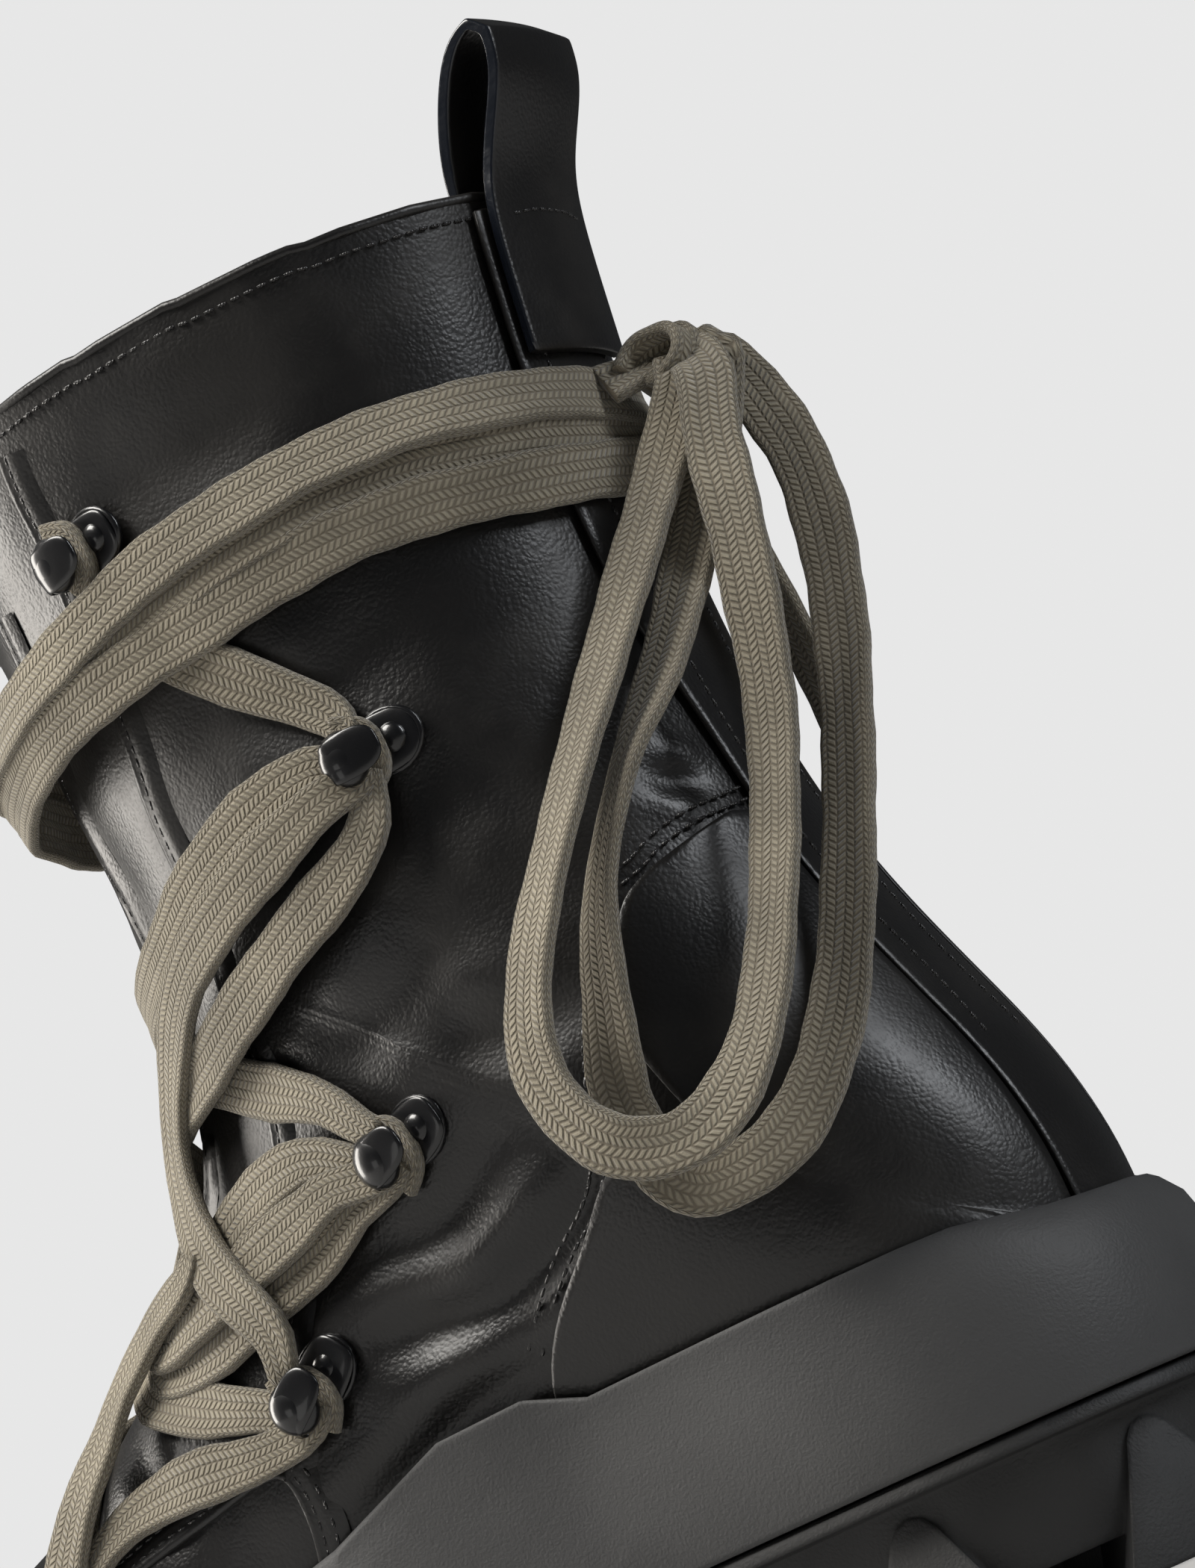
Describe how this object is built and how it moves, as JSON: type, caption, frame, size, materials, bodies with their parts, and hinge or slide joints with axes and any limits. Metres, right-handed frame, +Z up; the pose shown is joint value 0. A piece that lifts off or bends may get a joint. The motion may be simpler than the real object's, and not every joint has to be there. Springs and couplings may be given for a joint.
{
  "type": "lug sole boot",
  "caption": "Left leather lace-up ankle boot on a deep rubber lug sole, with speed hooks, a padded tongue, an insole and a rear pull loop.",
  "frame": {"origin": "on the floor, under the middle of the heel's first tread bar", "axes": "+X to the toe, +Y to the outer side of the left foot, +Z up"},
  "size_m": [0.3024, 0.1194, 0.2625],
  "materials": {
    "charcoal_rubber": "moulded, fine stipple",
    "black_lining": "woven",
    "black_leather": "waxed, fine grain, satin",
    "black_enamel": "glossy enamel with a fine speckle",
    "taupe_lace": "flat braid, matt"
  },
  "bodies": {
    "root": {"outsole": "charcoal_rubber", "sole_cup": "charcoal_rubber", "insole": "black_lining", "upper": "black_leather", "tongue": "black_leather", "back_strip": "black_leather", "counter_outer": "black_leather", "counter_inner": "black_leather", "pull_loop": "black_leather", "hook_outer_1": "black_enamel", "hook_outer_2": "black_enamel", "hook_outer_3": "black_enamel", "hook_outer_4": "black_enamel", "hook_outer_5": "black_enamel", "hook_inner_1": "black_enamel", "hook_inner_2": "black_enamel", "hook_inner_3": "black_enamel", "hook_inner_4": "black_enamel", "hook_inner_5": "black_enamel", "lace_crossing_1": "taupe_lace", "lace_crossing_2": "taupe_lace", "lace_crossing_3": "taupe_lace", "lace_crossing_4": "taupe_lace", "lace_wraps": "taupe_lace", "lace_knot": "taupe_lace", "lace_loop_a": "taupe_lace", "lace_loop_b": "taupe_lace", "lace_end_a": "taupe_lace", "lace_end_b": "taupe_lace"}
  },
  "joints": []
}
